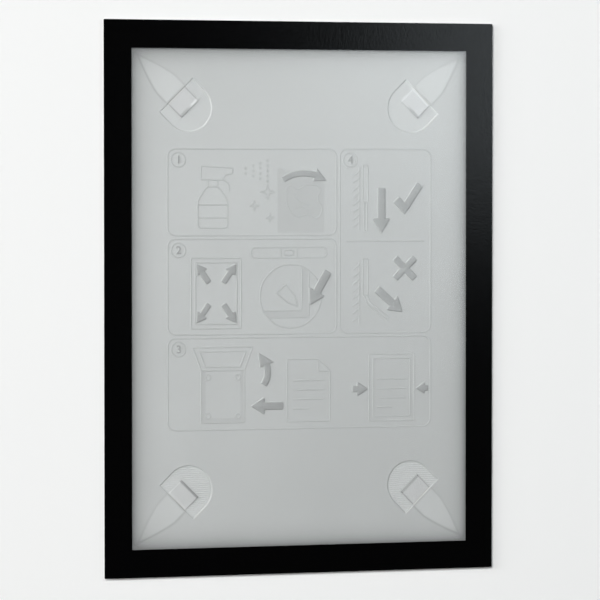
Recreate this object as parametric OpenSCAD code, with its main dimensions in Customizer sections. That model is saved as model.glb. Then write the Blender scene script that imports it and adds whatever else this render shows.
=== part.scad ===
// Self-adhesive frame for a paper sign.
// A frosted back panel is held to the wall by four stretch-release strips. Each strip's leaf-shaped
// adhesive lies behind the panel, and its grip tab comes out through a slot into a finger well.
// A clear cover with a black border hangs on a folded tape along the top edge and is held shut by
// magnet strips. The paper sheet lies between the panel and the cover.
// The wall is the plane y = 0, the front faces -Y, and the origin is at the middle of that plane.

/* [Sign sheet] */
// Width of the paper sheet that the frame holds
sheet_w = 210; // [148:1:297]
// Height of the paper sheet
sheet_h = 297; // [210:1:420]
// How far the border overlaps each edge of the sheet
sheet_overlap = 3.3; // [2:0.1:5]
// Room between the sheet and the magnet strips
sheet_gap = 0.8; // [0.4:0.1:2]

/* [Cover] */
// Width of the black border
border_w = 16.3; // [12:0.1:24]
// Thickness of the border foil
border_t = 0.25; // [0.15:0.05:0.6]
// Radius at the outer corners of border, film and panel
corner_r = 0.6; // [0.3:0.1:1.5]
// Thickness of the clear window film
film_t = 0.15; // [0.1:0.05:0.4]
// How far the film's edge lies inside the border's edge
film_inset = 0.5; // [0.2:0.1:1]

/* [Magnet strips] */
// Thickness of one magnet strip
magnet_t = 0.4; // [0.3:0.05:0.8]
// Distance from the frame's edge to the strips
magnet_inset = 1; // [0.8:0.1:2]
// Gap between two strips at a corner
magnet_gap = 0.5; // [0.2:0.1:1.5]

/* [Hinge tape] */
// Thickness of the hinge tape
tape_t = 0.12; // [0.06:0.02:0.2]
// Room between the tape's fold and the cover's own layers
fold_clearance = 0.1; // [0.05:0.05:0.4]

/* [Back panel] */
// Thickness of the panel
panel_t = 0.4; // [0.3:0.05:0.8]
// How far the panel's sides and bottom lie inside the border's edge
panel_inset = 0.6; // [0.3:0.1:0.9]

/* [Finger wells] */
// Distance from the window's edges to the middle of a well's straight edge
well_inset = 27; // [24:0.5:45]
// Width of a well at its rim
well_w = 28.8; // [22:0.1:36]
// Length of a well's straight sides, before its half-round end
well_straight = 10; // [4:0.5:16]
// How far the sides lean in from the rim to the floor
well_draft = 0.7; // [0.2:0.1:1.4]
// Wall round a well, behind the panel
well_wall = 0.4; // [0.3:0.05:0.8]
// Share of the panel's thickness that slants down along a well's straight edge
edge_slant = 0.75; // [0.3:0.05:0.85]
// Gap between a well's floor and the wall of the room
wall_gap = 0.1; // [0.05:0.05:0.2]

/* [Adhesive strips] */
// Thickness of the adhesive, which holds the panel off the wall
adhesive_t = 0.7; // [0.6:0.05:1.2]
// Width of a strip
strip_w = 14.4; // [10:0.1:20]
// Length from a well's straight edge to the leaf's tip
leaf_len = 31.5; // [24:0.5:38]
// Radius of the leaf's bowed sides
leaf_side_r = 130; // [90:1:300]
// Half of the angle at the leaf's tip
leaf_tip_angle = 23; // [15:1:40]
// Room between the adhesive and the well's wall
leaf_gap = 0.3; // [0.1:0.1:1]

/* [Grip tabs] */
// Thickness of the strip's film, in the slot and in the tab
tab_t = 0.2; // [0.1:0.05:0.25]
// Room for the film in its slot, on each side
slot_clearance = 0.05; // [0.02:0.01:0.08]
// Distance from a well's straight edge to the tab's free end
tab_len = 11.2; // [6:0.1:16]
// Distance from a well's straight edge to the tab's bend
tab_bend = 0.6; // [0.4:0.1:1.2]
// Room between the bend and the end of the fixed film
bend_clearance = 0.05; // [0.03:0.01:0.1]
// Angle at which the tab stands off the well's floor by itself
tab_rise = 3.5; // [1:0.5:4]

/* [Hidden] */
$fn = 96;
LEFT = -1;
RIGHT = 1;
// Which way each corner lies from the middle, right and up
TOP_LEFT = [-1, 1];
TOP_RIGHT = [1, 1];
BOTTOM_LEFT = [-1, -1];
BOTTOM_RIGHT = [1, -1];
CORNERS = [TOP_LEFT, TOP_RIGHT, BOTTOM_LEFT, BOTTOM_RIGHT];
// Overshoot of a cut past the face that it opens
cut_over = 0.1;

// Outlines in the plane of the wall
window_w = sheet_w - 2 * sheet_overlap;
window_h = sheet_h - 2 * sheet_overlap;
frame_w = window_w + 2 * border_w;
frame_h = window_h + 2 * border_w;
top_edge = frame_h / 2;
strip_out_x = frame_w / 2 - magnet_inset;
strip_in_x = sheet_w / 2 + sheet_gap;
strip_out_y = frame_h / 2 - magnet_inset;
strip_in_y = sheet_h / 2 + sheet_gap;
strip_top = top_edge - tape_t - fold_clearance;

// Distances from the wall, from the back of the stack to its front
slot_h = tab_t + 2 * slot_clearance;
floor_front = adhesive_t - slot_h;
panel_back = adhesive_t;
panel_front = panel_back + panel_t;
hinge_plane = panel_front + magnet_t;
film_back = hinge_plane + magnet_t;
film_front = film_back + film_t;

// A well, its slot and its strip, along the diagonal from the well's straight edge
well_depth = panel_front - floor_front;
leaf_start = well_wall + leaf_gap;
film_back_in_slot = floor_front + slot_clearance;
bend_height = film_back_in_slot + tab_t / 2;
film_end = tab_bend - tab_t / 2 - bend_clearance;

// Turns what is drawn flat, with its height as the distance from the wall, up onto the wall
module on_wall() {
    rotate([90, 0, 0]) children();
}

// A flat layer of an outline, from one distance off the wall to another
module layer(low, high) {
    translate([0, 0, low]) linear_extrude(high - low) children();
}

module rounded_sheet(left, right, bottom, top) {
    translate([left, bottom + corner_r]) square([right - left, top - bottom - 2 * corner_r]);
    translate([left + corner_r, bottom]) square([right - left - 2 * corner_r, top - bottom]);
    for (x = [left + corner_r, right - corner_r], y = [bottom + corner_r, top - corner_r])
        translate([x, y]) circle(corner_r);
}

module side_strip(side) {
    low = -strip_out_y;
    middle = side * (strip_in_x + strip_out_x) / 2;
    width = strip_out_x - strip_in_x;
    translate([middle - width / 2, low]) square([width, strip_in_y - magnet_gap - low]);
}

module bottom_strip() {
    half = strip_in_x - magnet_gap;
    translate([-half, -strip_out_y]) square([2 * half, strip_out_y - strip_in_y]);
}

module top_strip(top) {
    translate([-strip_out_x, strip_in_y]) square([2 * strip_out_x, top - strip_in_y]);
}

// Sets a strip's shapes at a corner, with +X along the diagonal towards that corner
module at_corner(corner) {
    translate([corner.x * (window_w / 2 - well_inset), corner.y * (window_h / 2 - well_inset), 0])
        rotate(atan2(corner.y, corner.x)) children();
}

// Half the width of a well at a distance from the wall
function well_half(height) = well_w / 2 - well_draft * (panel_front - height) / well_depth;

// The well's form: straight leaning sides that end in half of a cone, grown by a wall
module well_form(low, high, wall) {
    low_r = well_half(low) + wall;
    high_r = well_half(high) + wall;
    translate([-well_straight, 0, 0]) {
        intersection() {
            translate([0, 0, low]) cylinder(h = high - low, r1 = low_r, r2 = high_r);
            translate([-2 * well_w, -well_w, low]) cube([2 * well_w, 2 * well_w, high - low]);
        }
        rotate([90, 0, 90]) linear_extrude(well_straight + wall)
            polygon([[-low_r, low], [low_r, low], [high_r, high], [-high_r, high]]);
    }
}

module slot() {
    width = strip_w + 2 * slot_clearance;
    translate([-cut_over, -width / 2, floor_front]) cube([well_wall + 2 * cut_over, width, slot_h]);
}

// The slant on the panel's front, down to a well's straight edge
module slanted_edge() {
    slant = edge_slant * panel_t;
    rotate([90, 0, 0]) linear_extrude(well_w, center = true)
        polygon([[-cut_over, panel_front - slant - cut_over], [slant + cut_over, panel_front + cut_over],
                 [-cut_over, panel_front + cut_over]]);
}

// A leaf with two bowed sides that meet at the tip, as wide as the strip at most
module leaf_outline() {
    centre_x = leaf_len - leaf_side_r * sin(leaf_tip_angle);
    centre_y = leaf_side_r * cos(leaf_tip_angle);
    intersection() {
        translate([centre_x, -centre_y]) circle(leaf_side_r, $fn = 360);
        translate([centre_x, centre_y]) circle(leaf_side_r, $fn = 360);
        translate([leaf_start, -strip_w / 2]) square([leaf_len, strip_w]);
    }
}

// The tab from the side, rising from the round of its bend
module tab_profile() {
    circle(tab_t / 2);
    rotate(tab_rise) translate([0, -tab_t / 2]) square([tab_len - tab_bend, tab_t]);
}

// The frosted sheet, with four wells pressed back towards the wall
module back_panel() {
    color("lightgrey") on_wall() difference() {
        union() {
            layer(panel_back, panel_front)
                rounded_sheet(-frame_w / 2 + panel_inset, frame_w / 2 - panel_inset,
                              -frame_h / 2 + panel_inset, top_edge);
            for (corner = CORNERS) at_corner(corner)
                well_form(wall_gap, panel_back + panel_t / 2, well_wall);
        }
        for (corner = CORNERS) at_corner(corner) {
            well_form(floor_front, panel_front + cut_over, 0);
            slanted_edge();
            slot();
        }
    }
}

// Magnet foil on the panel's front, beside and below the sheet
module back_magnet_side(side) {
    color("dimgrey") on_wall() layer(panel_front, hinge_plane) side_strip(side);
}

module back_magnet_bottom() {
    color("dimgrey") on_wall() layer(panel_front, hinge_plane) bottom_strip();
}

// The same foil under the hinge, thinner by the tape
module back_top_strip() {
    color("dimgrey") on_wall() layer(panel_front, hinge_plane - tape_t) top_strip(strip_top);
}

// The hinge tape's fixed half, with the round of its fold along the top edge
module hinge_tape() {
    color("whitesmoke") on_wall() {
        layer(hinge_plane - tape_t, hinge_plane) top_strip(top_edge);
        translate([-strip_out_x, top_edge, hinge_plane])
            rotate([0, 90, 0]) cylinder(h = 2 * strip_out_x, r = tape_t);
    }
}

// Stretch-release adhesive behind the panel, and its film through the slot into the well
module adhesive_strip(corner) {
    color("gainsboro") on_wall() at_corner(corner) {
        layer(0, panel_back) leaf_outline();
        translate([-film_end, -strip_w / 2, film_back_in_slot])
            cube([film_end + leaf_start + cut_over, strip_w, tab_t]);
    }
}

// The free end of a strip's film, which a hand lifts and pulls
module grip_tab(corner) {
    color("white") on_wall() at_corner(corner)
        translate([-tab_bend, 0, bend_height])
            rotate([90, 0, 180]) linear_extrude(strip_w, center = true) tab_profile();
}

// Black foil round the window
module front_border() {
    color("black") on_wall() layer(film_front, film_front + border_t) difference() {
        rounded_sheet(-frame_w / 2, frame_w / 2, -frame_h / 2, frame_h / 2);
        square([window_w, window_h], center = true);
    }
}

// One clear film behind the whole border
module window_film() {
    color("azure") on_wall() layer(film_back, film_front)
        rounded_sheet(-frame_w / 2 + film_inset, frame_w / 2 - film_inset,
                      -frame_h / 2 + film_inset, frame_h / 2 - film_inset);
}

// Magnet foil on the film's back, face to face with the panel's
module cover_magnet_side(side) {
    color("dimgrey") on_wall() layer(hinge_plane, film_back) side_strip(side);
}

module cover_magnet_bottom() {
    color("dimgrey") on_wall() layer(hinge_plane, film_back) bottom_strip();
}

module cover_top_strip() {
    color("dimgrey") on_wall() layer(hinge_plane + tape_t, film_back) top_strip(strip_top);
}

// The hinge tape's moving half, short of its fold
module cover_hinge_tape() {
    color("whitesmoke") on_wall() layer(hinge_plane, hinge_plane + tape_t) top_strip(strip_top);
}

back_panel();
back_magnet_side(LEFT);  // back_magnet_left
back_magnet_side(RIGHT);  // back_magnet_right
back_magnet_bottom();
back_top_strip();
hinge_tape();
adhesive_strip(TOP_LEFT);  // adhesive_strip_top_left
adhesive_strip(TOP_RIGHT);  // adhesive_strip_top_right
adhesive_strip(BOTTOM_LEFT);  // adhesive_strip_bottom_left
adhesive_strip(BOTTOM_RIGHT);  // adhesive_strip_bottom_right
front_border();
window_film();
cover_magnet_side(LEFT);  // cover_magnet_left
cover_magnet_side(RIGHT);  // cover_magnet_right
cover_magnet_bottom();
cover_top_strip();
cover_hinge_tape();
grip_tab(TOP_LEFT);  // grip_tab_top_left
grip_tab(TOP_RIGHT);  // grip_tab_top_right
grip_tab(BOTTOM_LEFT);  // grip_tab_bottom_left
grip_tab(BOTTOM_RIGHT);  // grip_tab_bottom_right
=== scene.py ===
import math

import bpy
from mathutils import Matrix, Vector


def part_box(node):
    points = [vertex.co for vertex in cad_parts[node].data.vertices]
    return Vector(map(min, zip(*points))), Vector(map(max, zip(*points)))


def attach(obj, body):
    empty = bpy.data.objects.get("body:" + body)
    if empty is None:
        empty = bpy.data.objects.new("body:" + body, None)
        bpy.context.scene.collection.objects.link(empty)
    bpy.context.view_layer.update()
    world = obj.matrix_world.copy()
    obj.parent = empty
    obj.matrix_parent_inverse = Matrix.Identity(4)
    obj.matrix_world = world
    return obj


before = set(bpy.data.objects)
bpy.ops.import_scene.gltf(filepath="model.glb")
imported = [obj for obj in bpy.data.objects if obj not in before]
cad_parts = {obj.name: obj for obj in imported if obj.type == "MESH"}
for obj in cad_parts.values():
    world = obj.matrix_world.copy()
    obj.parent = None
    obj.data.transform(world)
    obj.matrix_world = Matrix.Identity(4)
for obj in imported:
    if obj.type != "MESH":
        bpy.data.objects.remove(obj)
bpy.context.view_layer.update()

# Back panel
# A thin sheet of frosted, translucent plastic, with four finger wells pressed back towards the wall.
# Less light reaches it near the border, which is painted shade in its colour; painted light and shade also
# change its tone over the sheet and in the wells, and the pale adhesive leaves behind it show through.
mm = 0.001
window_w = 203.4 * mm
window_h = 290.4 * mm
well_inset = 27 * mm
well_x = window_w / 2 - well_inset
well_z = window_h / 2 - well_inset
well_floor = -0.4 * mm
panel_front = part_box("back_panel")[0].y
strip_w = 14.4 * mm
leaf_start = 0.7 * mm
leaf_len = 31.5 * mm
leaf_side_r = 130 * mm
leaf_tip_angle = math.radians(23)
leaf_blur_out = 0.5 * mm
leaf_blur_in = 0.8 * mm
# The soft line of painted shade at the leaves' edges, darker on their lower side
leaf_shade_line_at = 0.4 * mm
leaf_shade_line_w = 1.2 * mm
leaf_shade_line_side = 3 * mm
leaf_shade_line_upper = 0.93
leaf_shade_line_lower = 0.84
# Painted shade near the window's edges: its depth, and how far in it reaches on the left and on the right
border_painted_shade_depth = 0.58
border_shade_reach_left = 4.9 * mm
border_shade_reach_right = 3.2 * mm
# Painted light added on the wells' floors
painted_floor_light = 0.06
floor_depths = (well_floor - 0.25 * mm, well_floor - 0.1 * mm)
near_edge_band = (-1.6 * mm, -0.2 * mm)
slant_band = (-0.2 * mm, -0.05 * mm)
slant_mid = 0.18 * mm
slant_half = (0.17 * mm, 0.12 * mm)
noise_low = 0.3
noise_high = 0.7
# Painted light and shade over the whole sheet: darker towards the bottom, lighter towards the top, lighter
# on the left and darker on the right except near the top
painted_low_shade = 0.96
painted_high_light = 1.03
painted_light_turn = 30 * mm
painted_left_tones = (1.05, 1.005)
painted_right_tones = (0.955, 1.0)
diagonal = math.sqrt(0.5)

# By corner (top left, top right, bottom left, bottom right): the leaves' gain, which carries painted light,
# and the painted light added at the wells' straight edges
leaf_gains_with_painted_light = (1.085, 1.09, 1.07, 1.115)
painted_near_edge_light = (0.08, 0.18, 0.02, 0.14)
painted_slant_light = (0.45, 0.18, 0.02, 0.14)


def node(tree, kind, inputs=None, **settings):
    """Adds a shader node; inputs holds numbers, colours or sockets by name or number."""
    made = tree.nodes.new("ShaderNode" + kind)
    for key, value in settings.items():
        setattr(made, key, value)
    for key, value in (inputs or {}).items():
        if isinstance(value, bpy.types.NodeSocket):
            tree.links.new(value, made.inputs[key])
        else:
            made.inputs[key].default_value = value
    return made


def calc(tree, operation, *values):
    """The result of one math node."""
    return node(tree, "Math", dict(enumerate(values)), operation=operation).outputs[0]


def fade(tree, value, start, end, low=0.0, high=1.0):
    """A smooth step from low, where value is start, to high, where it is end."""
    inputs = {"Value": value, "From Min": start, "From Max": end, "To Min": low, "To Max": high}
    return node(tree, "MapRange", inputs, interpolation_type="SMOOTHSTEP").outputs[0]


def grain_group():
    """Fine grain for bump and roughness, and a soft drift in tone, on Object coordinates."""
    group = bpy.data.node_groups.new("surface_grain", "ShaderNodeTree")
    for name in ("Grain Size", "Drift Size"):
        group.interface.new_socket(name=name, in_out="INPUT", socket_type="NodeSocketFloat")
    for name in ("Grain", "Drift"):
        group.interface.new_socket(name=name, in_out="OUTPUT", socket_type="NodeSocketFloat")
    source = group.nodes.new("NodeGroupInput")
    result = group.nodes.new("NodeGroupOutput")
    place = node(group, "TexCoord").outputs["Object"]
    for size, name, detail in (("Grain Size", "Grain", 2.0), ("Drift Size", "Drift", 1.0)):
        scale = calc(group, "DIVIDE", 1.0, source.outputs[size])
        noise = node(group, "TexNoise", {"Vector": place, "Scale": scale, "Detail": detail})
        group.links.new(noise.outputs[0], result.inputs[name])
    return group


surface_grain = grain_group()


def strip_group():
    """Where a point lies along and beside the strip of its corner, and towards the strip's lower side."""
    group = bpy.data.node_groups.new("strip_place", "ShaderNodeTree")
    for name in ("Along", "Beside", "Lower Side"):
        group.interface.new_socket(name=name, in_out="OUTPUT", socket_type="NodeSocketFloat")
    result = group.nodes.new("NodeGroupOutput")
    place = node(group, "SeparateXYZ", {0: node(group, "TexCoord").outputs["Object"]}).outputs
    across = calc(group, "SUBTRACT", calc(group, "ABSOLUTE", place["X"]), well_x)
    up = calc(group, "SUBTRACT", calc(group, "ABSOLUTE", place["Z"]), well_z)
    along = calc(group, "MULTIPLY", calc(group, "ADD", across, up), diagonal)
    offset = calc(group, "MULTIPLY", calc(group, "SUBTRACT", across, up), diagonal)
    lower = calc(group, "MULTIPLY", offset, calc(group, "SIGN", place["Z"]))
    group.links.new(along, result.inputs["Along"])
    group.links.new(calc(group, "ABSOLUTE", offset), result.inputs["Beside"])
    group.links.new(lower, result.inputs["Lower Side"])
    return group


strip_place = strip_group()


def placed_group(tree, group, inputs=None):
    """Puts a shared node group into a material and returns its outputs."""
    made = tree.nodes.new("ShaderNodeGroup")
    made.node_tree = group
    for name, value in (inputs or {}).items():
        made.inputs[name].default_value = value
    return made.outputs


def start_material(name, grain_size, drift_size, bump_depth):
    """A material with the shared grain already bumping its surface."""
    material = bpy.data.materials.new(name)
    material.use_nodes = True
    tree = material.node_tree
    shader = tree.nodes["Principled BSDF"]
    grain = placed_group(tree, surface_grain, {"Grain Size": grain_size, "Drift Size": drift_size})
    bump = node(tree, "Bump", {"Distance": bump_depth, "Height": grain["Grain"]})
    tree.links.new(bump.outputs["Normal"], shader.inputs["Normal"])
    return material, tree, shader, grain


def tint(tree, share, first, second):
    """A colour between two, by a share that changes over the surface."""
    mix = tree.nodes.new("ShaderNodeMix")
    mix.data_type = "RGBA"
    mix.inputs[6].default_value = (*first, 1)
    mix.inputs[7].default_value = (*second, 1)
    tree.links.new(share, mix.inputs[0])
    return mix.outputs[2]


def shaded(tree, colour, share):
    """The colour times a grey share."""
    mix = tree.nodes.new("ShaderNodeMix")
    mix.data_type = "RGBA"
    mix.blend_type = "MULTIPLY"
    mix.inputs[0].default_value = 1
    tree.links.new(colour, mix.inputs[6])
    tree.links.new(share, mix.inputs[7])
    return mix.outputs[2]


def vary(tree, socket, share, low, high):
    """Feeds a shader input with a value that runs from low to high over the surface."""
    spread = node(tree, "MapRange", {"Value": share, "From Min": noise_low, "From Max": noise_high,
                                     "To Min": low, "To Max": high})
    tree.links.new(spread.outputs[0], socket)


def dress(material, *names):
    """Gives CAD pieces their material."""
    for name in names:
        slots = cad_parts[name].data.materials
        slots.clear()
        slots.append(material)


def leaf_shade(tree):
    """The adhesive leaves as they show through: a little lighter, with a soft line of painted shade at the
    edge, darkest below, and a painted light gain per corner.
    """
    strip = placed_group(tree, strip_place)
    from_centre = calc(tree, "SUBTRACT", strip["Along"], leaf_len - leaf_side_r * math.sin(leaf_tip_angle))
    from_far_side = calc(tree, "ADD", strip["Beside"], leaf_side_r * math.cos(leaf_tip_angle))
    squares = calc(tree, "ADD", calc(tree, "MULTIPLY", from_centre, from_centre),
                   calc(tree, "MULTIPLY", from_far_side, from_far_side))
    past_bow = calc(tree, "SUBTRACT", calc(tree, "SQRT", squares), leaf_side_r)
    past_side = calc(tree, "SUBTRACT", strip["Beside"], strip_w / 2)
    past_root = calc(tree, "SUBTRACT", leaf_start, strip["Along"])
    outside = calc(tree, "MAXIMUM", calc(tree, "MAXIMUM", past_bow, past_side), past_root)
    gain = by_corner(tree, *leaf_gains_with_painted_light)
    leaf = fade(tree, outside, leaf_blur_out, -leaf_blur_in, 1.0, gain)
    from_edge = calc(tree, "ABSOLUTE", calc(tree, "SUBTRACT", outside, leaf_shade_line_at))
    darkest_leaf_shade = fade(tree, strip["Lower Side"], -leaf_shade_line_side, leaf_shade_line_side,
                   leaf_shade_line_upper, leaf_shade_line_lower)
    edge = fade(tree, from_edge, 0.0, leaf_shade_line_w, darkest_leaf_shade, 1.0)
    return calc(tree, "MULTIPLY", leaf, edge)


def border_shade(tree):
    """Painted shade: the sheet darker towards the edges of the window, where the border keeps light from it.
    """
    place = node(tree, "SeparateXYZ", {0: node(tree, "TexCoord").outputs["Object"]}).outputs
    reach = node(tree, "MapRange", {"Value": place["X"],
                                    "From Min": -window_w / 2, "From Max": window_w / 2,
                                    "To Min": -border_shade_reach_left, "To Max": -border_shade_reach_right}).outputs[0]
    shades = []
    for name, half in (("X", window_w / 2), ("Z", window_h / 2)):
        inside = calc(tree, "SUBTRACT", half, calc(tree, "ABSOLUTE", place[name]))
        loss = calc(tree, "EXPONENT", calc(tree, "DIVIDE", calc(tree, "MAXIMUM", inside, 0.0), reach))
        shades.append(calc(tree, "MULTIPLY_ADD", loss, -border_painted_shade_depth, 1.0))
    return calc(tree, "MAXIMUM", calc(tree, "MULTIPLY", *shades), 1.0 - border_painted_shade_depth)


def by_corner(tree, top_left, top_right, bottom_left, bottom_right):
    """A number that differs from corner to corner."""
    place = node(tree, "SeparateXYZ", {0: node(tree, "TexCoord").outputs["Object"]}).outputs
    side = calc(tree, "SIGN", place["X"])
    top = fade(tree, side, -1.0, 1.0, top_left, top_right)
    bottom = fade(tree, side, -1.0, 1.0, bottom_left, bottom_right)
    return fade(tree, calc(tree, "SIGN", place["Z"]), -1.0, 1.0, bottom, top)


def floor_shade(tree, depth):
    """Painted light on the wells' floors, and more or less of it at their straight edges, set by corner."""
    along = placed_group(tree, strip_place)["Along"]
    in_well = fade(tree, depth, *floor_depths)
    light = fade(tree, along, *near_edge_band, painted_floor_light, by_corner(tree, *painted_near_edge_light))
    on_floor = calc(tree, "MULTIPLY_ADD", in_well, light, 1.0)
    from_slant = calc(tree, "ABSOLUTE", calc(tree, "SUBTRACT", depth, panel_front + slant_mid))
    on_slant = calc(tree, "MULTIPLY", fade(tree, from_slant, *slant_half), fade(tree, along, *slant_band))
    return calc(tree, "MULTIPLY_ADD", on_slant, by_corner(tree, *painted_slant_light), on_floor)


frosted, tree, shader, grain = start_material("frosted_sheet", 0.35 * mm, 45 * mm, 0.004 * mm)
colour = tint(tree, grain["Drift"], (0.698, 0.715, 0.707), (0.732, 0.749, 0.741))
place = node(tree, "SeparateXYZ", {0: node(tree, "TexCoord").outputs["Object"]}).outputs
# Painted light and shade, times the leaves, the painted shade at the border and the painted light in the
# wells
shade = fade(tree, place["Z"], -window_h / 2, window_h / 2, painted_low_shade, painted_high_light)
painted_left_tone = fade(tree, place["Z"], painted_light_turn, window_h / 2, *painted_left_tones)
painted_right_tone = fade(tree, place["Z"], painted_light_turn, window_h / 2, *painted_right_tones)
painted_side_light = fade(tree, place["X"], -window_w / 2, window_w / 2, painted_left_tone, painted_right_tone)
for other in (painted_side_light, leaf_shade(tree), border_shade(tree), floor_shade(tree, place["Y"])):
    shade = calc(tree, "MULTIPLY", shade, other)
tree.links.new(shaded(tree, colour, shade), shader.inputs["Base Color"])
vary(tree, shader.inputs["Roughness"], grain["Grain"], 0.52, 0.6)
dress(frosted, "back_panel")

# Well ribs
# Fine level ribs on the floors of the two lower wells, pressed with the sheet, that give a finger hold.
# They stop at the well's wall and leave room for the grip tab.
well_straight = 10 * mm
ribbed_r = 13.3 * mm
rib_pitch = 1.18 * mm
rib_count = 27
rib_w = 0.72 * mm
rib_h = 0.23 * mm
rib_len = 40 * mm
rib_root = 0.1 * mm
cut_h = 4 * rib_h
tab_len = 11.2 * mm
tab_room = 0.5 * mm
crease_angle = math.radians(25)
quarter_turn = math.radians(90)


def choose(piece):
    """Leaves one piece selected and active, as a click on it does."""
    bpy.ops.object.select_all(action="DESELECT")
    piece.select_set(True)
    bpy.context.view_layer.objects.active = piece


def place_all():
    """Sets the active piece's place, turn and size into its mesh."""
    bpy.ops.object.transform_apply(location=True, rotation=True, scale=True)


def finish_edges(piece):
    """Points the faces outwards and shades curved walls smooth."""
    choose(piece)
    bpy.ops.object.mode_set(mode="EDIT")
    bpy.ops.mesh.select_all(action="SELECT")
    bpy.ops.mesh.normals_make_consistent(inside=False)
    bpy.ops.object.mode_set(mode="OBJECT")
    bpy.ops.object.shade_smooth_by_angle(angle=crease_angle)


def trim(piece, tool, operation):
    """Cuts a piece with a tool, which is then thrown away."""
    choose(piece)
    cut = piece.modifiers.new("cut", "BOOLEAN")
    cut.object = tool
    cut.operation = operation
    cut.solver = "EXACT"
    bpy.ops.object.modifier_apply(modifier="cut")
    bpy.data.objects.remove(tool)


def into_well(tool):
    """Turns a tool, drawn with +X towards the frame's corner, into the lower left well."""
    choose(tool)
    tool.rotation_euler = (0, math.radians(135), 0)
    tool.location = (-well_x, well_floor, -well_z)
    place_all()


# One rib, lying on the floor with half of its oval section above it, repeated up the well
bpy.ops.mesh.primitive_cylinder_add(vertices=12, radius=0.5, depth=rib_len, rotation=(0, quarter_turn, 0))
ribs_left = bpy.context.object
ribs_left.name = "well_ribs_left"
place_all()
ribs_left.scale = (1, 2 * rib_h, rib_w)
middle = Vector((-well_x + well_straight / 2, well_floor, -well_z + well_straight / 2))
ribs_left.location = middle - Vector((0, 0, rib_pitch * (rib_count - 1) / 2))
place_all()
rows = ribs_left.modifiers.new("rows", "ARRAY")
rows.count = rib_count
rows.use_relative_offset = False
rows.use_constant_offset = True
rows.constant_offset_displace = (0, 0, rib_pitch)
bpy.ops.object.modifier_apply(modifier="rows")

# The ribs end at the well's outline, and just above the back of its floor
bpy.ops.mesh.primitive_cylinder_add(vertices=64, radius=ribbed_r, depth=cut_h, rotation=(quarter_turn, 0, 0),
                                    location=(-well_straight, rib_root - cut_h / 2, 0))
floor = bpy.context.object
place_all()
bpy.ops.object.mode_set(mode="EDIT")
bpy.ops.mesh.select_all(action="SELECT")
bpy.ops.mesh.bisect(plane_co=(-well_straight, 0, 0), plane_no=(1, 0, 0), use_fill=True, clear_outer=True)
bpy.ops.mesh.extrude_region_move(TRANSFORM_OT_translate={"value": (well_straight - tab_room, 0, 0)})
bpy.ops.object.mode_set(mode="OBJECT")
finish_edges(floor)
into_well(floor)
trim(ribs_left, floor, "INTERSECT")

# Room for the tab
bpy.ops.mesh.primitive_cube_add(size=1, location=(-tab_len / 2, 0, 0))
tab = bpy.context.object
tab.scale = (tab_len + 2 * tab_room, 2.5 * cut_h, strip_w + 2 * tab_room)
place_all()
into_well(tab)
trim(ribs_left, tab, "DIFFERENCE")
finish_edges(ribs_left)

choose(ribs_left)
bpy.ops.object.duplicate()
ribs_right = bpy.context.object
ribs_right.name = "well_ribs_right"
ribs_right.scale = (-1, 1, 1)
place_all()
finish_edges(ribs_right)

pressed, tree, shader, grain = start_material("pressed_relief", 0.35 * mm, 20 * mm, 0.006 * mm)
# Painted a little lighter than the sheet they are pressed in: painted light, to match the painted light on
# the wells' floors
colour = tint(tree, grain["Drift"], (0.819, 0.836, 0.828), (0.865, 0.883, 0.874))
tree.links.new(colour, shader.inputs["Base Color"])
vary(tree, shader.inputs["Roughness"], grain["Grain"], 0.38, 0.5)
for ribs in (ribs_left, ribs_right):
    ribs.data.materials.append(pressed)
    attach(ribs, "back")

# Embossed pictures
# Fine lines raised on the panel's face when it is pressed: four rounded boxes that show how to clean
# the wall, press the frame on, slip a sheet in and pull the strips off again.
line_w = 0.85 * mm
line_h = 0.24 * mm
box_corner = 4.6
handle_pull = 0.55
traced = []


def curve_through(points, closed, smooth, corner):
    """A curve through points in millimetres, straight or smooth between them, with rounded corners."""
    stops = []
    for number, point in enumerate(points):
        at = Vector((*point, 0))
        if corner == 0 or (not closed and number in (0, len(points) - 1)):
            stops.append((at, at, at))
            continue
        before = Vector((*points[number - 1], 0))
        after = Vector((*points[(number + 1) % len(points)], 0))
        leave = at + (before - at).normalized() * corner
        join = at + (after - at).normalized() * corner
        stops.append((leave, leave, leave.lerp(at, handle_pull)))
        stops.append((join, join.lerp(at, handle_pull), join))
    bpy.ops.curve.primitive_bezier_curve_add()
    curve = bpy.context.object
    spline = curve.data.splines[0]
    spline.bezier_points.add(len(stops) - 2)
    spline.use_cyclic_u = closed
    for stop, (at, left, right) in zip(spline.bezier_points, stops):
        kind = "AUTO" if smooth else "FREE"
        stop.handle_left_type = stop.handle_right_type = kind
        stop.co, stop.handle_left, stop.handle_right = at * mm, left * mm, right * mm
    curve.data.resolution_u = 6
    return curve


def trace(points, closed=False, smooth=False, corner=0.0):
    """A raised line, round on top."""
    line = curve_through(points, closed, smooth, corner)
    line.data.bevel_depth = line_w / 2
    line.data.bevel_resolution = 2
    line.data.use_fill_caps = True
    traced.append(line)


def rectangle(left, bottom, right, top):
    """The four corners of a level rectangle."""
    return [(left, bottom), (right, bottom), (right, top), (left, top)]


def ring(x, y, radius):
    """A raised round line."""
    side = radius * diagonal
    around = [(x - radius, y), (x - side, y + side), (x, y + radius), (x + side, y + side),
              (x + radius, y), (x + side, y - side), (x, y - radius), (x - side, y - side)]
    trace(around, closed=True, smooth=True)


def frame_picture(left, bottom, right, top, rim=2.6):
    """A picture of the frame: its outline and its window."""
    trace(rectangle(left, bottom, right, top), closed=True, corner=0.8)
    trace(rectangle(left + rim, bottom + rim, right - rim, top - rim), closed=True, corner=0.4)


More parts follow.
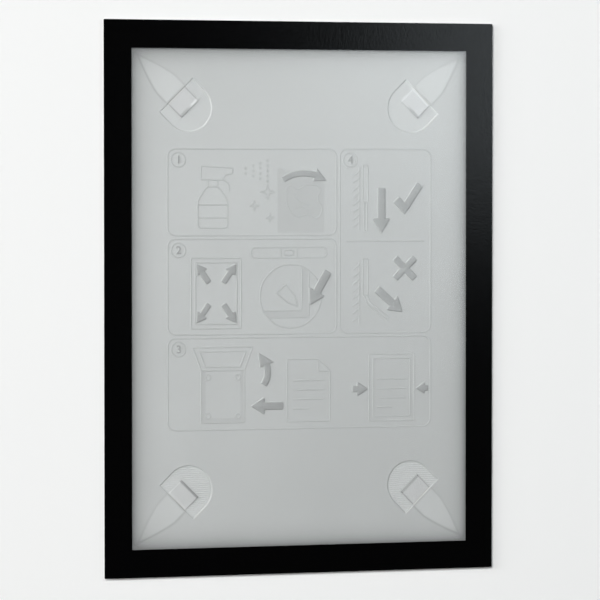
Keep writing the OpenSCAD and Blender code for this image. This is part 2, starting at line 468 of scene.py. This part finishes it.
def star(x, y, size):
    """A four-pointed sparkle."""
    waist = 0.22 * size
    tips = [(x, y + size), (x + size, y), (x, y - size), (x - size, y)]
    dents = [(x + waist, y + waist), (x + waist, y - waist), (x - waist, y - waist), (x - waist, y + waist)]
    trace([point for pair in zip(tips, dents) for point in pair], closed=True)


def joined(pieces, name):
    """Makes one flat mesh of curves and numerals."""
    bpy.ops.object.select_all(action="DESELECT")
    for piece in pieces:
        piece.select_set(True)
    bpy.context.view_layer.objects.active = pieces[0]
    bpy.ops.object.convert(target="MESH")
    bpy.ops.object.join()
    relief = bpy.context.object
    relief.name = name
    place_all()
    return relief


def stand_up(relief, material):
    """Turns a flat relief up onto the panel's face, half sunk in it, and dresses it."""
    choose(relief)
    relief.rotation_euler = (quarter_turn, 0, 0)
    relief.location = (0, panel_front, 0)
    place_all()
    finish_edges(relief)
    relief.data.materials.clear()
    relief.data.materials.append(material)
    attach(relief, "back")


# Boxes and the rings for their numbers
boxes = [(-80, 36.6, 21.9, 87), (-80, -21, 21.9, 34.5), (-80, -76.6, 80, -23.1), (24, -21, 80, 87)]
number_inset = 6.4
number_ring = 4.2
for left, bottom, right, top in boxes:
    trace(rectangle(left, bottom, right, top), closed=True, corner=box_corner)
    ring(left + number_inset, top - number_inset, number_ring)

# Cleaning: a spray bottle, its mist and a cloth on the wall
trace([(-62, 41), (-44, 41), (-44, 57), (-49.5, 65), (-56.5, 65), (-62, 57)], closed=True, corner=2.2)
for height in (47, 54.5):
    trace([(-62, height), (-44, height)])
for side in (-56, -50):
    trace([(side, 65), (side, 69)])
trace([(-60, 69), (-47, 69), (-45.5, 72), (-41, 72.6), (-41, 76), (-60, 77)], closed=True, corner=0.8)
trace([(-47, 69), (-43.5, 66.5), (-43, 62)], smooth=True)
mist_rows = 4
for row in range(1, mist_rows + 1):
    for drop in range(row + 1):
        ring(-37.5 + 4.4 * row, 74.3 + 3 * (drop - row / 2), 0.45)
trace([(-7, 52), (-2, 47.5), (4, 48.5), (10, 46.5), (13, 52.5), (10.5, 58), (12, 64), (4, 66), (-2, 63.5),
       (-7, 65.5), (-8.5, 59)], closed=True, smooth=True)
trace([(-4, 61), (0, 56), (6, 54)], smooth=True)
trace([(-3, 52.5), (1, 53), (5, 50.5)], smooth=True)
for x, y, size in ((-20, 62, 4.4), (-28, 54, 3), (-18.5, 47, 2.6)):
    star(x, y, size)

# Pressing on: the frame with a spirit level, and one corner seen through a lens
frame_picture(-66, -17.5, -36, 23.5)
trace(rectangle(-30, 23.5, 16, 29.5), closed=True, corner=2.4)
for side in (-12, -2):
    trace([(side, 23.5), (side, 29.5)])
trace([(-10, 26.5), (-7, 28.1), (-4, 26.5), (-7, 24.9)], closed=True, smooth=True)
ring(-6, 1, 18.5)
trace([(-19.4, -11.5), (5, -11.5), (5, 15.7)], corner=0.8)
trace([(-22.2, -7.5), (1, -7.5), (1, 17.9)], corner=0.8)
trace([(-1.5, -5), (-3.6, 1.6), (-9, 8), (-14.6, 3), (-8, -2.6)], closed=True, corner=1.2)

# Slipping a sheet in: the cover lifted, the sheet with a folded corner, and the closed frame
trace([(-60, -42), (-60, -72.5), (-34, -72.5), (-34, -42)], corner=0.8)
trace([(-60, -42), (-34, -42), (-29, -28.5), (-65, -28.5)], closed=True, corner=0.6)
trace([(-57.4, -40), (-36.6, -40), (-33, -30.9), (-61, -30.9)], closed=True, corner=0.4)
for x in (-56, -38):
    for y in (-68.5, -46):
        ring(x, y, 1.5)
trace([(-8, -72.5), (18, -72.5), (18, -43), (11, -36), (-8, -36)], closed=True, corner=0.6)
trace([(11, -36), (11, -43), (18, -43)], corner=0.6)
frame_picture(42, -73, 70, -33.5)
print_rows = 4
for left, right in ((-4.5, 14.5), (47, 65)):
    for row in range(print_rows):
        end = right if row < print_rows - 1 else (left + right) / 2
        trace([(left, -48.5 - 5.5 * row), (end, -48.5 - 5.5 * row)])

# Taking off: the wall from the side, with a strip pulled straight down and one pulled away
hatch_rows = 8
trace([(28, 33), (76, 33)])
for base in (39, -16):
    trace([(36, base), (36, base + 37)])
    for row in range(hatch_rows):
        trace([(32, base + 2 + 4.3 * row), (36, base + 5 + 4.3 * row)])
    trace(rectangle(38, base + 17, 41.2, base + 38.5), closed=True, corner=0.6)
trace([(39, 56), (39, 39), (40.8, 39), (40.8, 56)], corner=0.4)
trace([(39, 1), (41, -4.5), (53, -13.5), (54.2, -12), (42.6, -3.2), (40.8, 1)], corner=0.6)

embossed, tree, shader, grain = start_material("embossed_lines", 0.35 * mm, 20 * mm, 0.006 * mm)
# A little darker than the sheet they are pressed in: painted shade along the raised lines
colour = tint(tree, grain["Drift"], (0.634, 0.652, 0.644), (0.668, 0.686, 0.678))
tree.links.new(colour, shader.inputs["Base Color"])
vary(tree, shader.inputs["Roughness"], grain["Grain"], 0.38, 0.5)
embossed_lines = joined(traced, "embossed_lines")
embossed_lines.scale = (1, 1, line_h / (line_w / 2))
place_all()
stand_up(embossed_lines, embossed)

# Shaded patches
# Thin raised areas of the pictures, pressed with the sheet, matt and a little darker than it:
# the wiped part of the wall, the border in the lens and the back of the opened frame.
patch_h = 0.06 * mm
patches = []


def patch(points):
    """A flat raised area."""
    shape = curve_through(points, True, False, 0.0)
    shape.data.dimensions = "2D"
    shape.data.fill_mode = "BOTH"
    shape.data.extrude = patch_h
    patches.append(shape)


patch([(-14, 38.2), (14.5, 38.2), (14.5, 69), (-14, 76.5)])
patch([(-22.2, -7.5), (1, -7.5), (1, 17.9), (5, 15.7), (5, -11.5), (-19.4, -11.5)])
patch([(-60, -42), (-60, -72.5), (-34, -72.5), (-34, -42), (-36.6, -42), (-36.6, -69.8), (-57.4, -69.8),
       (-57.4, -42)])

matt, tree, shader, grain = start_material("matt_patch", 0.5 * mm, 12 * mm, 0.012 * mm)
colour = tint(tree, grain["Drift"], (0.646, 0.661, 0.654), (0.692, 0.707, 0.700))
tree.links.new(colour, shader.inputs["Base Color"])
vary(tree, shader.inputs["Roughness"], grain["Grain"], 0.6, 0.75)
stand_up(joined(patches, "shaded_patches"), matt)

# Raised arrows and signs
# The arrows, tick, cross and numbers stand higher than the lines, with rounded edges.
# They are pressed with the sheet too; their tops are rough and dark, and their edges carry a painted
# highlight where they face up and left and painted shade where they face down and right.
sign_h = 0.62 * mm
sign_edge = 0.55 * mm
sign_root = 0.05 * mm
head_share = 0.8
edge_from = 0.25
edge_full = 0.7
sign_edge_painted_highlight = 1.3
sign_edge_painted_shade = 0.8
signs = []


def sign(points, corner=0.0):
    """A filled raised shape with a rounded edge."""
    shape = curve_through(points, True, False, corner)
    shape.data.dimensions = "2D"
    shape.data.fill_mode = "BOTH"
    shape.data.extrude = sign_h - sign_edge
    shape.data.bevel_depth = sign_edge
    shape.data.bevel_resolution = 2
    signs.append(shape)


def arrow(start, tip, shaft, head):
    """A straight arrow from start to tip."""
    start, tip = Vector(start), Vector(tip)
    ahead = (tip - start).normalized()
    aside = Vector((-ahead.y, ahead.x))
    neck = tip - ahead * head * head_share
    half = [start + aside * shaft / 2, neck + aside * shaft / 2, neck + aside * head / 2]
    other = [point - 2 * aside * (point - start).dot(aside) for point in reversed(half)]
    sign([*half, tip, *other], corner=0.25)


def bent_arrow(x, y, radius, start, end, shaft, head):
    """An arrow along an arc round (x, y), from one angle to another in degrees."""
    turn = math.copysign(1, end - start)
    steps = 7
    angles = [math.radians(start + (end - start) * step / steps) for step in range(steps + 1)]

    def spot(angle, distance):
        return (x + distance * math.cos(angle), y + distance * math.sin(angle))

    tip = angles[-1] + turn * head / radius
    outer = [spot(angle, radius + shaft / 2) for angle in angles]
    inner = [spot(angle, radius - shaft / 2) for angle in reversed(angles)]
    barbs = [spot(angles[-1], radius + head / 2), spot(tip, radius), spot(angles[-1], radius - head / 2)]
    sign([*outer, *barbs, *inner])


bent_arrow(2, 50, 23, 122, 72, 2.6, 6.4)
middle = Vector((-51, 3))
for reach in ((-1, 1), (1, 1), (-1, -1), (1, -1)):
    corner_at = Vector((12 * reach[0], 17.4 * reach[1]))
    arrow(middle + corner_at * 0.38, middle + corner_at * 0.95, 2.4, 6)
arrow((16.5, 15), (6, -3.5), 4, 9.6)
bent_arrow(-33, -43, 13, -34, 20, 3, 7.4)
arrow((-11, -63), (-29.5, -63), 3.6, 9)
arrow((32, -54), (40.5, -54), 2.8, 7)
arrow((78, -54), (71.5, -54), 2.4, 5.6)
arrow((49.5, 64), (49.5, 38.5), 3.8, 9.4)
arrow((47, 4.5), (62, -8.5), 3.8, 9.4)
sign([(57.5, 56), (60.4, 58.8), (63.4, 55.2), (71.5, 67), (74.4, 65), (63.8, 49.4)], corner=0.3)
arm, half = 8.2, 1.5
cross = [(-half, arm), (-half, half), (-arm, half), (-arm, -half), (-half, -half), (-half, -arm),
         (half, -arm), (half, -half), (arm, -half), (arm, half), (half, half), (half, arm)]
sign([(64 + (x - y) * diagonal, 17 + (x + y) * diagonal) for x, y in cross], corner=0.3)

number_size = 6.4 * mm
numeral_edge = 0.09 * mm
for number, (left, bottom, right, top) in enumerate(boxes, start=1):
    place = ((left + number_inset) * mm, (top - number_inset) * mm, 0)
    bpy.ops.object.text_add(location=place)
    numeral = bpy.context.object
    numeral.data.body = str(number)
    numeral.data.size = number_size
    numeral.data.align_x = "CENTER"
    numeral.data.align_y = "CENTER"
    numeral.data.extrude = sign_h - numeral_edge
    numeral.data.bevel_depth = numeral_edge
    signs.append(numeral)

rough, tree, shader, grain = start_material("rough_relief", 0.7 * mm, 6 * mm, 0.05 * mm)
# Painted light and shade by the way a face points: a painted highlight on edges that face up and left,
# painted shade on those that face down and right
facing = node(tree, "SeparateXYZ", {0: node(tree, "NewGeometry").outputs["Normal"]}).outputs
up_left = calc(tree, "MULTIPLY", calc(tree, "SUBTRACT", facing["Z"], facing["X"]), diagonal)
sign_edge_painted_light = calc(tree, "MULTIPLY", fade(tree, up_left, edge_from, edge_full, 1.0, sign_edge_painted_highlight),
                 fade(tree, up_left, -edge_from, -edge_full, 1.0, sign_edge_painted_shade))
colour = tint(tree, grain["Grain"], (0.438, 0.450, 0.444), (0.576, 0.589, 0.583))
tree.links.new(shaded(tree, colour, sign_edge_painted_light), shader.inputs["Base Color"])
vary(tree, shader.inputs["Roughness"], grain["Grain"], 0.5, 0.7)
raised_signs = joined(signs, "raised_signs")
bpy.ops.object.mode_set(mode="EDIT")
bpy.ops.mesh.select_all(action="SELECT")
bpy.ops.mesh.remove_doubles(threshold=0.001 * mm)
bpy.ops.mesh.bisect(plane_co=(0, 0, -sign_root), plane_no=(0, 0, -1), use_fill=True, clear_outer=True)
bpy.ops.object.mode_set(mode="OBJECT")
stand_up(raised_signs, rough)

# Adhesive strips
# Soft stretch-release adhesive behind the panel, die-cut to a leaf. Its film passes through the slot
# at the well's straight edge.
corners = ("top_left", "top_right", "bottom_left", "bottom_right")
sticky, tree, shader, grain = start_material("adhesive", 0.8 * mm, 8 * mm, 0.02 * mm)
colour = tint(tree, grain["Drift"], (0.74, 0.74, 0.70), (0.80, 0.80, 0.77))
tree.links.new(colour, shader.inputs["Base Color"])
vary(tree, shader.inputs["Roughness"], grain["Grain"], 0.3, 0.45)
dress(sticky, *["adhesive_strip_" + name for name in corners])

# Grip tabs
# The free end of each strip's film, which lies in the finger well until a hand lifts and pulls it.
# Fine lines along its cut edges are painted light and shade: painted highlights and painted shade set by
# corner and by the way each edge faces, and a painted highlight at the bend on two tabs.
line_from = strip_w / 2 - 0.8 * mm
line_full = strip_w / 2 - 0.3 * mm
end_from = tab_len - 2.0 * mm
end_full = tab_len - 0.9 * mm
end_turn = (-4 * mm, 2 * mm)
root_until = 1.9 * mm
root_full = 1.1 * mm
tab_film, tree, shader, grain = start_material("tab_film", 0.5 * mm, 6 * mm, 0.008 * mm)
# Painted light and shade along the tab's cut edges, set by corner and by side
strip = placed_group(tree, strip_place)
upper_painted_light_shade = by_corner(tree, 0.72, 1.22, 1.22, 0.72)
upper_painted_line = fade(tree, strip["Lower Side"], -line_from, -line_full, 1.0, upper_painted_light_shade)
lower_painted_shade = by_corner(tree, 0.68, 0.6, 0.68, 0.68)
lower_painted_shade_line = fade(tree, strip["Lower Side"], line_from, line_full, 1.0, lower_painted_shade)
high_end_painted_light_shade = by_corner(tree, 1.28, 1.0, 0.58, 0.72)
low_end_painted_shade = by_corner(tree, 0.78, 0.67, 0.58, 0.76)
end_painted_light_shade = fade(tree, strip["Lower Side"], *end_turn, high_end_painted_light_shade, low_end_painted_shade)
past_end = calc(tree, "MULTIPLY", strip["Along"], -1.0)
end_painted_line = fade(tree, past_end, end_from, end_full, 1.0, end_painted_light_shade)
root_painted_highlight = by_corner(tree, 1.0, 1.16, 1.08, 1.0)
root_painted_highlight_line = fade(tree, past_end, root_until, root_full, 1.0, root_painted_highlight)
painted_edge_lines = root_painted_highlight_line
for line in (end_painted_line, lower_painted_shade_line, upper_painted_line):
    painted_edge_lines = calc(tree, "MULTIPLY", painted_edge_lines, line)
colour = tint(tree, grain["Drift"], (0.762, 0.773, 0.769), (0.813, 0.824, 0.821))
tree.links.new(shaded(tree, colour, painted_edge_lines), shader.inputs["Base Color"])
shader.inputs["Specular IOR Level"].default_value = 0.4
vary(tree, shader.inputs["Roughness"], grain["Grain"], 0.16, 0.24)
dress(tab_film, *["grip_tab_" + name for name in corners])

# Magnet strips
# Flat strips of magnet foil on the panel and on the cover, and plain filler strips at the hinge.
# They lie under the border and hold the cover shut; the foil is matt, dark and faintly milled.
magnet, tree, shader, grain = start_material("magnet_foil", 0.3 * mm, 12 * mm, 0.02 * mm)
colour = tint(tree, grain["Drift"], (0.030, 0.027, 0.025), (0.050, 0.046, 0.043))
tree.links.new(colour, shader.inputs["Base Color"])
vary(tree, shader.inputs["Roughness"], grain["Grain"], 0.6, 0.8)
dress(magnet, "back_magnet_left", "back_magnet_right", "back_magnet_bottom", "back_top_strip",
      "cover_magnet_left", "cover_magnet_right", "cover_magnet_bottom", "cover_top_strip")

# Hinge tape
# A pale satin tape, folded along the top edge, that joins the cover to the panel.
# One half is stuck on the panel's filler strip and the other under the cover's.
tape, tree, shader, grain = start_material("hinge_tape", 0.2 * mm, 10 * mm, 0.01 * mm)
colour = tint(tree, grain["Drift"], (0.66, 0.67, 0.66), (0.72, 0.73, 0.72))
tree.links.new(colour, shader.inputs["Base Color"])
vary(tree, shader.inputs["Roughness"], grain["Grain"], 0.3, 0.42)
dress(tape, "hinge_tape", "cover_hinge_tape")

# Window film
# One clear anti-glare film behind the whole border, which keeps the sheet flat and clean.
# It lets the panel show, takes a little of its light and mirrors a soft light, more at a slant.
film_mirror = 0.064
film_clearness = (0.97, 0.97, 0.97, 1)
clear, tree, shader, grain = start_material("clear_film", 1.5 * mm, 45 * mm, 0.0004 * mm)
bump = shader.inputs["Normal"].links[0].from_socket
tree.nodes.remove(shader)
gloss = node(tree, "BsdfGlossy", {"Color": (1, 1, 1, 1), "Normal": bump})
vary(tree, gloss.inputs["Roughness"], grain["Drift"], 0.31, 0.35)
slant = calc(tree, "POWER", node(tree, "LayerWeight").outputs["Facing"], 5.0)
mirror = calc(tree, "MULTIPLY_ADD", slant, 1.0 - film_mirror, film_mirror)
through = node(tree, "BsdfTransparent", {"Color": film_clearness})
mix = node(tree, "MixShader", {0: mirror, 1: through.outputs[0], 2: gloss.outputs[0]})
tree.links.new(mix.outputs[0], tree.nodes["Material Output"].inputs["Surface"])
dress(clear, "window_film")

# Front border
# Black foil, die-cut in one piece, with a satin, finely grained face.
# It is stuck on the film and hides the magnet strips.
black, tree, shader, grain = start_material("black_foil", 0.9 * mm, 14 * mm, 0.045 * mm)
colour = tint(tree, grain["Grain"], (0.0004, 0.0004, 0.0005), (0.0008, 0.0008, 0.0009))
tree.links.new(colour, shader.inputs["Base Color"])
shader.inputs["Specular IOR Level"].default_value = 0.21
vary(tree, shader.inputs["Roughness"], grain["Grain"], 0.14, 0.2)
dress(black, "front_border")

# Wall, light and camera
# A pale wall behind the frame, seen only from its front, soft light from the upper left, and a lamp at
# the upper right that gives film and border their sheen.
view_azimuth = math.radians(-15.86)
view_elevation = math.radians(1.87)
view_distance = 2.064
view_lens = 211.3
aim = Vector((0, 0, -1.3 * mm))
wall_size = 6
wall_gap = 0.02 * mm
wall_colour = (0.965, 0.965, 0.955, 1)
room_light = 0.035
backdrop_light = 0.88

bpy.ops.mesh.primitive_plane_add(size=wall_size, location=(0, wall_gap, 0), rotation=(quarter_turn, 0, 0))
wall = bpy.context.object
wall.name = "wall"
paint = bpy.data.materials.new("wall_paint")
paint.use_nodes = True
tree = paint.node_tree
tree.nodes.clear()
rays = node(tree, "LightPath").outputs
seen = calc(tree, "MAXIMUM", calc(tree, "MAXIMUM", rays["Is Camera Ray"], rays["Is Glossy Ray"]),
            rays["Is Transmission Ray"])
front = calc(tree, "SUBTRACT", 1.0, node(tree, "NewGeometry").outputs["Backfacing"])
plaster = node(tree, "BsdfDiffuse", {"Color": wall_colour})
mix = node(tree, "MixShader", {0: calc(tree, "MULTIPLY", seen, front),
                               1: node(tree, "BsdfTransparent").outputs[0], 2: plaster.outputs[0]})
node(tree, "OutputMaterial", {"Surface": mix.outputs[0]})
wall.data.materials.append(paint)

world = bpy.data.worlds.new("room")
bpy.context.scene.world = world
world.use_nodes = True
tree = world.node_tree
rays = node(tree, "LightPath").outputs
heading = node(tree, "SeparateXYZ", {0: node(tree, "TexCoord").outputs["Generated"]}).outputs
behind = calc(tree, "GREATER_THAN", heading["Y"], 0.0)
seen = calc(tree, "MAXIMUM", rays["Is Camera Ray"], rays["Is Transmission Ray"])
seen = calc(tree, "MAXIMUM", seen, behind)
strength = node(tree, "MapRange", {"Value": seen, "To Min": room_light, "To Max": backdrop_light})
tree.links.new(strength.outputs[0], tree.nodes["Background"].inputs["Strength"])
tree.nodes["Background"].inputs["Color"].default_value = (1.0, 1.0, 0.99, 1)


def softbox(name, place, size, level, colour=(1, 1, 1)):
    """A square lamp turned to the frame; level is its share of the light that shows white as white."""
    place = Vector(place)
    slant = abs(place.y) / place.length
    bpy.ops.object.light_add(type="AREA", location=place)
    lamp = bpy.context.object
    lamp.name = name
    lamp.rotation_euler = place.to_track_quat("Z", "Y").to_euler()
    lamp.data.size = size
    lamp.data.color = colour
    lamp.data.energy = level * math.pi ** 2 * place.length_squared / slant
    return lamp


# The key lamp gives no mirror image, so that no view has the film white with glare
key = softbox("key_light", (-2.3, -3.8, 1.9), 1.2, 0.44)
key.visible_glossy = False
softbox("side_light", (-5.8, -1.9, 1.5), 2.4, 0.13)
softbox("fill_light", (-1.7, -3.26, 0.28), 2.55, 0.275)
softbox("sheen_light", (0.58, -1.0, 0.255), 0.4, 0.106, (0.86, 0.95, 1.0))

back = Vector((math.sin(view_azimuth) * math.cos(view_elevation),
               -math.cos(view_azimuth) * math.cos(view_elevation), math.sin(view_elevation)))
bpy.ops.object.camera_add(location=aim + back * view_distance)
camera = bpy.context.object
camera.rotation_euler = back.to_track_quat("Z", "Y").to_euler()
camera.data.lens = view_lens
camera.data.clip_start = 0.05
bpy.context.scene.camera = camera
bpy.context.scene.view_settings.view_transform = "Standard"
